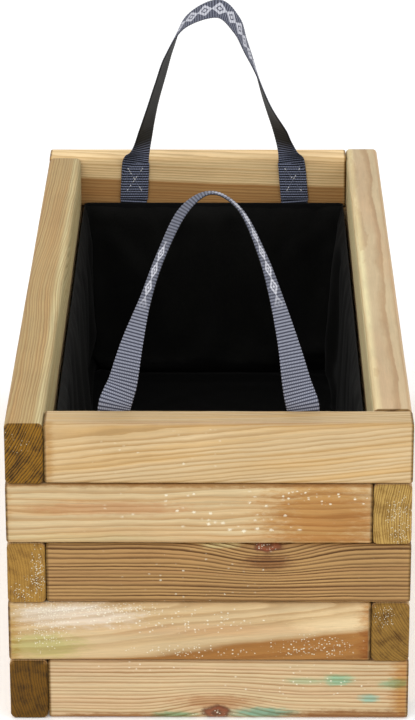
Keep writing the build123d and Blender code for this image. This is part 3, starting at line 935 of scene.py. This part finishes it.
# ---- the liner
def liner_grid(half_x, half_y, low_z, high_z, cell):
    """An open bag as one net: four walls and a base. Returns points, faces, and the mouth's points."""
    nx, ny, nz = (max(2, round(v / cell)) for v in (2 * half_x, 2 * half_y, high_z - low_z))
    xs = [-half_x + 2 * half_x * i / nx for i in range(nx + 1)]
    ys = [-half_y + 2 * half_y * i / ny for i in range(ny + 1)]
    zs = [low_z + (high_z - low_z) * i / nz for i in range(nz + 1)]
    points, index, faces = [], {}, []

    def at(i, j, k):
        key = (i, j, k)
        if key not in index:
            index[key] = len(points)
            points.append(Vector((xs[i], ys[j], zs[k])))
        return index[key]

    for i in range(nx):
        for j in range(ny):
            faces.append((at(i, j, 0), at(i + 1, j, 0), at(i + 1, j + 1, 0), at(i, j + 1, 0)))
    border = [(i, 0) for i in range(nx)] + [(nx, j) for j in range(ny)]
    border += [(i, ny) for i in range(nx, 0, -1)] + [(0, j) for j in range(ny, 0, -1)]
    for n, (i, j) in enumerate(border):
        i2, j2 = border[(n + 1) % len(border)]
        for k in range(nz):
            faces.append((at(i, j, k), at(i, j, k + 1), at(i2, j2, k + 1), at(i2, j2, k)))
    mouth = [index[(i, j, nz)] for i, j in border]
    return points, faces, mouth


def make_liner():
    """The bag in one piece: four walls with the slack of their folds, and a base."""
    low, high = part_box("liner_base_panel")
    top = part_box("liner_top_hem")[1].z
    half_x, half_y = high.x - 0.6 * MM, high.y - 0.6 * MM
    floor_z = low.z + 0.2 * MM
    black = felt("liner_felt", (3, 3, 3), (19, 19, 17), low=46 * MM)
    points, faces, mouth = liner_grid(half_x, half_y, floor_z + 1 * MM, top, 9 * MM)
    rim = set(mouth)

    def pulled(across, below, reach, turn):
        """How far a wall stands in where folds fan out from an upper corner, across and below it."""
        r = hypot(across, below)
        fan = atan2(below, max(across, 1e-6))
        ridge = max(0.0, sin(fan * 9 + turn)) ** 2
        return 6 * MM * ridge * min(1.0, r / (40 * MM)) * min(1.0, below / (25 * MM)) * exp(-r / reach)

    def folds(p):
        """The folds that show across each wall, drawn from its two upper corners."""
        on_side = abs(p.x) > half_x - 1e-5
        across, half, turn = (p.y, half_y, 0.7) if on_side else (p.x, half_x, 0.0)
        below = top - p.z
        left = pulled(across + half, below, 170 * MM, turn)
        return left + 0.8 * pulled(half - across, below, 110 * MM, turn + 1.1)

    def settle(p, on_rim):
        """Eases the square corners, and gives the walls the slack that folds in them take up."""
        drop_t = (top - p.z) / (top - floor_z)
        cx = max(0.0, (abs(p.x) - (half_x - 26 * MM)) / (26 * MM))
        cy = max(0.0, (abs(p.y) - (half_y - 26 * MM)) / (26 * MM))
        ease = 6 * MM * (min(cx, cy) ** 1.5) * (0.2 + 0.8 * drop_t)
        wave = noise.noise(Vector((p.x * 9, p.y * 9, p.z * 14)))
        sag = (3.0 * MM * (0.5 + 0.5 * wave)) * (1 if not on_rim else 0.2) + folds(p)
        low_ease = max(0.0, (drop_t - 0.86) / 0.14) ** 2
        on_x, on_y = abs(p.x) > half_x - 1e-5, abs(p.y) > half_y - 1e-5
        x = p.x - (1 if p.x > 0 else -1) * (ease + sag * on_x + 9 * MM * low_ease * on_x)
        y = p.y - (1 if p.y > 0 else -1) * (ease + sag * on_y + 9 * MM * low_ease * on_y)
        return Vector((x, y, p.z))

    start = [settle(p, i in rim) for i, p in enumerate(points)]
    bag = mesh_object("liner_shell", start, faces, black)
    relax_cloth(bag, mouth, half_x, half_y, floor_z)
    for v in bag.data.vertices:
        v.co.x = min(max(v.co.x, -half_x), half_x)
        v.co.y = min(max(v.co.y, -half_y), half_y)
        v.co.z = min(max(v.co.z, floor_z), top)
    shell = bag.modifiers.new("thickness", "SOLIDIFY")
    shell.thickness, shell.offset = 1.2 * MM, 1.0
    round_off = bag.modifiers.new("smooth", "SUBSURF")
    round_off.levels = round_off.render_levels = 1
    bake_modifiers(bag)
    panels = [f"liner_{side}_panel" for side in ("base", "left", "right", "front", "rear")]
    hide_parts(*panels)
    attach(bag, "liner_bag")
    wall = top - floor_z
    width, length = 2 * (half_x + wall), 2 * (half_y + wall)
    width * length - 4 * wall * wall


def relax_cloth(bag, mouth, half_x, half_y, floor_z):
    """Lets the bag settle inside the trough as cloth a little too large for it."""
    thick = 30 * MM
    wide, long, level = half_x + 2 * thick, half_y + 2 * thick, floor_z + 0.1
    walls = [((way * (half_x + thick), 0, level), (thick, long, 0.16)) for way in (1, -1)]
    walls += [((0, way * (half_y + thick), level), (wide, thick, 0.16)) for way in (1, -1)]
    walls.append(((0, 0, floor_z - thick), (wide, long, thick)))
    signs = [(x, y, z) for z in (-1, 1) for x, y in ((-1, -1), (1, -1), (1, 1), (-1, 1))]
    quads = [(0, 3, 2, 1), (4, 5, 6, 7), (0, 1, 5, 4), (1, 2, 6, 5), (2, 3, 7, 6), (3, 0, 4, 7)]
    blocks = []
    for n, (middle, half) in enumerate(walls):
        corners = [Vector(middle[i] + s[i] * half[i] for i in range(3)) for s in signs]
        block = mesh_object(f"wall_{n}", corners, quads, bag.data.materials[0])
        block.modifiers.new("stop", "COLLISION")
        block.collision.thickness_outer = 0.5 * MM
        blocks.append(block)
    pins = bag.vertex_groups.new(name="pins")
    pins.add(mouth, 1.0, "REPLACE")
    cloth = bag.modifiers.new("cloth", "CLOTH")
    fabric = cloth.settings
    fabric.quality = 6
    fabric.mass = 0.25
    fabric.tension_stiffness = fabric.compression_stiffness = 18
    fabric.shear_stiffness = 6
    fabric.bending_stiffness = 0.6
    fabric.shrink_min = -0.035
    fabric.vertex_group_mass = "pins"
    cloth.collision_settings.distance_min = 0.6 * MM
    cloth.collision_settings.collision_quality = 3
    cloth.point_cache.frame_start, cloth.point_cache.frame_end = 1, 40
    scene = bpy.context.scene
    for step in range(1, 33):
        scene.frame_set(step)
    bake_modifiers(bag)
    for block in blocks:
        drop(block)
    scene.frame_set(1)


def make_hem():
    """The turned hem round the liner's mouth."""
    _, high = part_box("liner_top_hem")
    outer_x, outer_y = high.x - 0.2 * MM, high.y - 0.2 * MM
    material = felt("hem_felt", (6, 6, 7), (20, 20, 20))
    # the hem's section: millimetres down from the rim, and inwards from its outer face
    section = ((0.0, 0.15), (0.0, 0.75), (0.35, 1.15), (1.1, 1.2), (4.0, 1.0), (9.0, 0.95),
               (13.0, 1.0), (15.2, 0.75), (16.2, 1.0), (17.6, 1.1), (17.95, 0.6), (17.95, 0.1))
    around = []
    corner = 5 * MM
    for sx, sy, turn in ((1, -1, -90), (1, 1, 0), (-1, 1, 90), (-1, -1, 180)):
        centre = Vector((sx * (outer_x - corner), sy * (outer_y - corner), 0))
        for i in range(7):
            angle = radians(turn + 15 * i)
            around.append((centre, Vector((cos(angle), sin(angle), 0))))
    track = []
    for n, (centre, out) in enumerate(around):
        track.append((centre + out * corner, out))
        nxt = around[(n + 1) % len(around)]
        if n % 7 == 6:
            a, b = centre + out * corner, nxt[0] + nxt[1] * corner
            count = round((b - a).length / (8 * MM))
            track += [(a.lerp(b, i / count), out) for i in range(1, count)]
    points, faces = [], []
    for spot, out in track:
        ripple = 0.5 + 0.5 * noise.noise(spot * 26)
        rise = 2.4 * MM * smooth(spot.y / outer_y)  # the hem stands a little higher at the rear
        for down, inward in section:
            wavy = 0.5 * ripple * (down / 18)
            level = high.z + rise - down * MM
            points.append(Vector((spot.x, spot.y, level)) - out * ((inward + wavy) * MM))
    wide, total = len(section), len(track)
    for n in range(total):
        m = (n + 1) % total
        for i in range(wide):
            j = (i + 1) % wide
            faces.append((n * wide + i, m * wide + i, m * wide + j, n * wide + j))
    made = mesh_object("liner_hem", points, faces, material)
    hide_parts("liner_top_hem")
    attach(made, "liner_bag")


# ---- studio
def plain_floor():
    """White paper under the trough."""
    points = [(-6, -6, 0), (6, -6, 0), (6, 9, 0), (-6, 9, 0)]
    s = Shade("floor_paper", Specular_IOR_Level=0.1, Emission_Strength=0.12)
    s.shader.inputs["Emission Color"].default_value = (1, 1, 1, 1)
    floor = mesh_object("studio_floor", points, [(0, 1, 2, 3)], s.done((0.96, 0.96, 0.96, 1), 0.9))


def soft_light(name, spot, target, size, power):
    lamp = bpy.data.lights.new(name, "AREA")
    lamp.shape, lamp.size, lamp.size_y = "RECTANGLE", *size
    lamp.energy = power
    made = bpy.data.objects.new(name, lamp)
    made.location = spot
    made.rotation_euler = (Vector(target) - Vector(spot)).to_track_quat("-Z", "Y").to_euler()
    bpy.context.scene.collection.objects.link(made)


def make_studio():
    """White surroundings, with a key light from the front left and a fill from the right."""
    plain_floor()
    world = bpy.data.worlds.new("studio")
    world.use_nodes = True
    background = world.node_tree.nodes["Background"]
    background.inputs[0].default_value = (1, 1, 1, 1)
    background.inputs[1].default_value = 1.0
    bpy.context.scene.world = world
    soft_light("key", (-0.9, -2.4, 2.6), (0, 0, 0.15), (1.6, 1.2), 20)
    soft_light("fill", (1.8, -1.8, 1.2), (0, 0, 0.15), (1.4, 1.4), 8)


def make_camera():
    """A long lens, placed so that the trough's corners fall where they do in the photograph."""
    camera = bpy.data.cameras.new("camera")
    camera.lens = 163.73
    made = bpy.data.objects.new("camera", camera)
    yaw, pitch, roll = radians(-0.4586), radians(21.053), radians(-0.087)
    look = Vector((sin(yaw) * cos(pitch), cos(yaw) * cos(pitch), -sin(pitch)))
    aim = look.to_track_quat("-Z", "Y").to_matrix() @ Matrix.Rotation(roll, 3, "Z")
    made.rotation_euler = aim.to_euler()
    made.location = (0.01763, -2.65041, 1.18766)
    bpy.context.scene.collection.objects.link(made)
    bpy.context.scene.camera = made


bpy.context.scene.view_settings.view_transform = "Standard"
make_camera()
make_studio()
make_trough()
make_liner()
make_hem()
make_handles()
